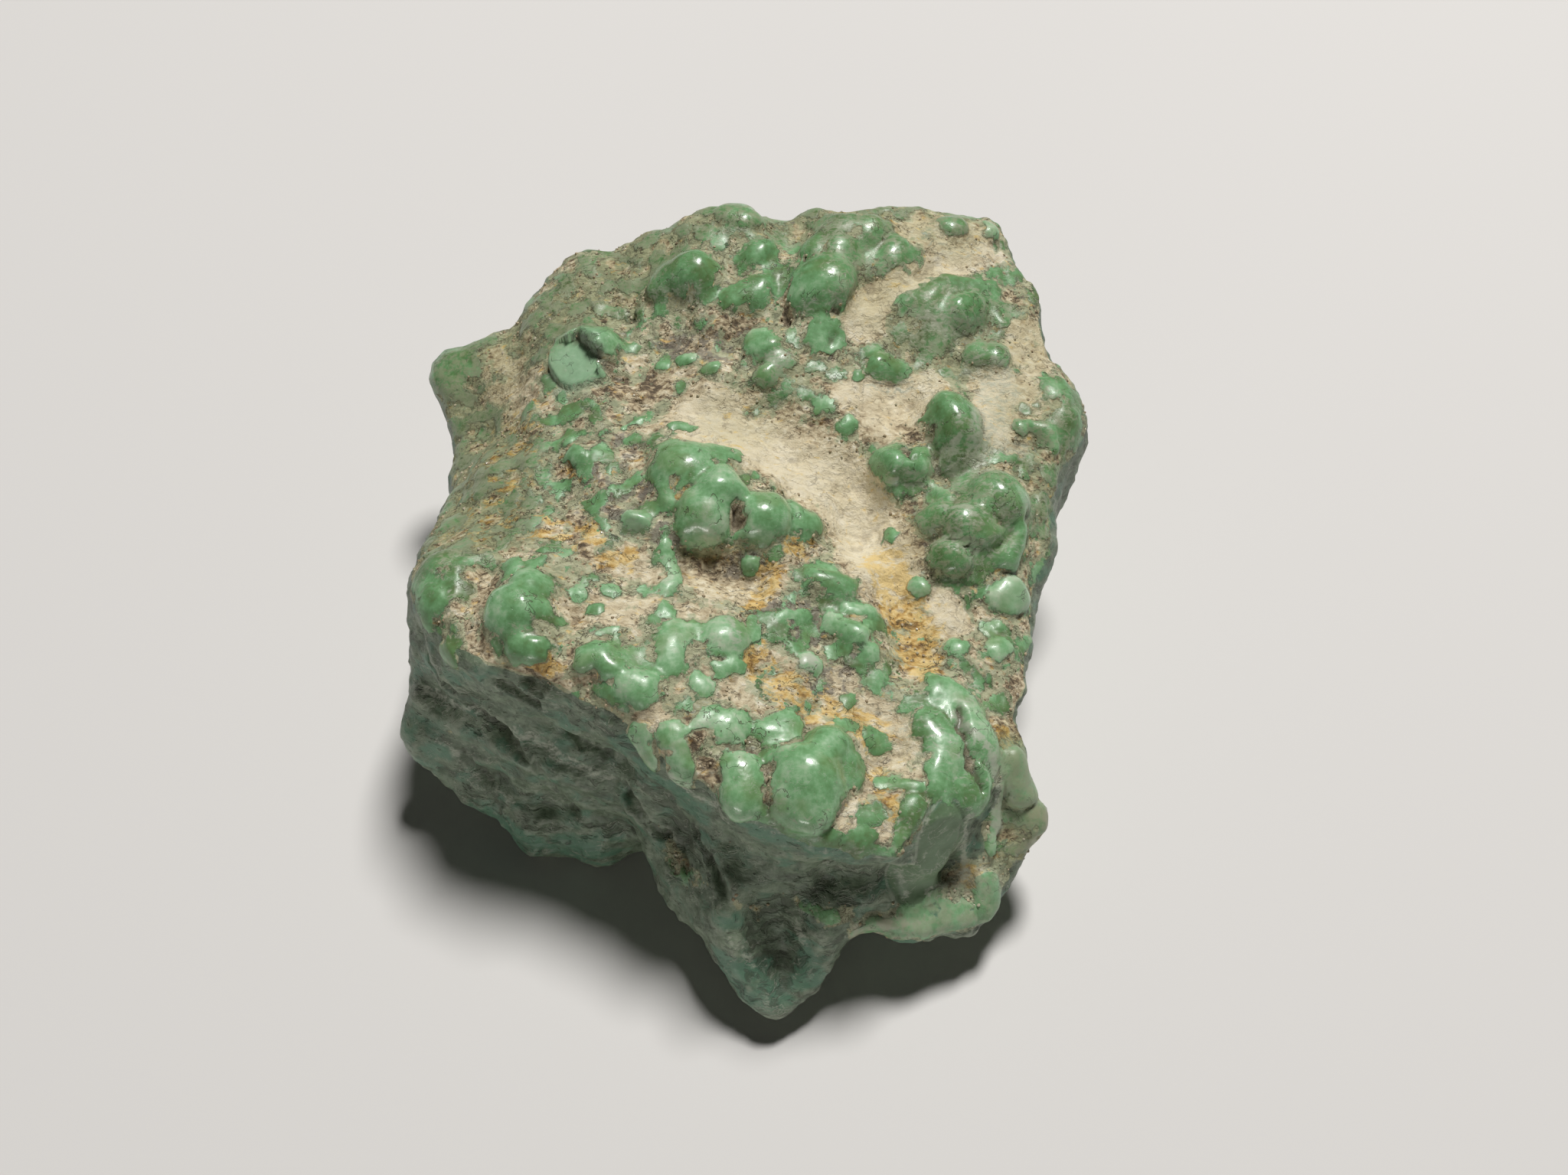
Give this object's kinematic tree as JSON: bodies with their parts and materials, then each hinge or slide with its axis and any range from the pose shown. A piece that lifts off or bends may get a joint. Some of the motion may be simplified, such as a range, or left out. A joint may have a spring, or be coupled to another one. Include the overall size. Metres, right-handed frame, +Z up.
{
  "type": "raw turquoise nugget",
  "caption": "Raw turquoise nugget with a bumpy, clay-stained upper side, a dull broken wall, a low spur in front and a flat worn foot to rest on.",
  "frame": {"origin": "middle of the bounding box, at the level of the flat foot", "axes": "+Z up out of the foot, +Y to the tall back of the stone and away from the spur, +X to the right seen from the spur"},
  "size_m": [0.0468, 0.0542, 0.0244],
  "materials": {
    "turquoise": "waxy green beads and patches in matte beige clay, with a dull grey-green broken wall"
  },
  "bodies": {
    "root": {"turquoise_nugget": "turquoise"}
  },
  "joints": []
}
